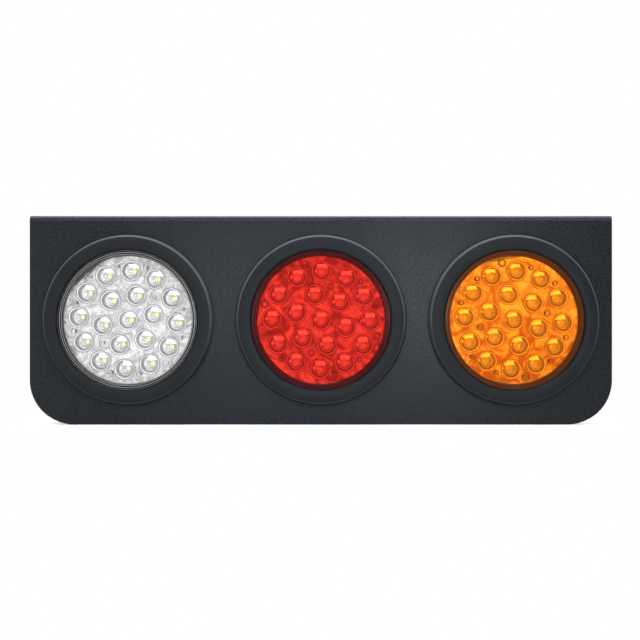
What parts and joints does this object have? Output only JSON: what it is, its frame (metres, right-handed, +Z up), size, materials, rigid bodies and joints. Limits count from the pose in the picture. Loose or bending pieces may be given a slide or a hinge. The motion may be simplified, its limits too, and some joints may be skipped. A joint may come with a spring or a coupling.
{
  "type": "truck tail light",
  "caption": "Folded black steel bracket with round sealed lamps in a row, clear, red and amber, each in a push-in rubber grommet, with a slotted flange on top.",
  "frame": {"origin": "centre of the four flange slots, on the flange's upper face", "axes": "+X across the vehicle to the viewer's right, +Y into the vehicle (the lamps face -Y), +Z up, out of the flange's upper face"},
  "size_m": [0.46, 0.0463, 0.165],
  "materials": {
    "powder_coat_black": "fine matt black powder coat on steel",
    "rubber": "satin black moulded rubber",
    "lens_clear": "polished clear polycarbonate",
    "lens_red": "polished transparent red polycarbonate",
    "lens_amber": "polished transparent amber polycarbonate",
    "optic_plate_clear": "clear moulded acrylic optics",
    "optic_plate_red": "clear moulded acrylic optics",
    "optic_plate_amber": "clear moulded acrylic optics",
    "leds_clear": "yellow phosphor in a white package",
    "leds_red": "white package with a clear window",
    "leds_amber": "white package with a clear window",
    "board_white": "white solder mask on glass-fibre board",
    "component_black": "moulded component bodies",
    "brass": "plain brass",
    "housing_black": "fine-grained black moulded plastic"
  },
  "bodies": {
    "root": {"bracket": "powder_coat_black", "grommet_clear": "rubber", "lens_clear": "lens_clear", "optic_plate_clear": "optic_plate_clear", "leds_clear": "leds_clear", "circuit_board_clear": "board_white", "board_parts_clear": "component_black", "terminals_clear": "brass", "housing_clear": "housing_black", "grommet_red": "rubber", "lens_red": "lens_red", "optic_plate_red": "optic_plate_red", "leds_red": "leds_red", "circuit_board_red": "board_white", "board_parts_red": "component_black", "terminals_red": "brass", "housing_red": "housing_black", "grommet_amber": "rubber", "lens_amber": "lens_amber", "optic_plate_amber": "optic_plate_amber", "leds_amber": "leds_amber", "circuit_board_amber": "board_white", "board_parts_amber": "component_black", "terminals_amber": "brass", "housing_amber": "housing_black"}
  },
  "joints": []
}
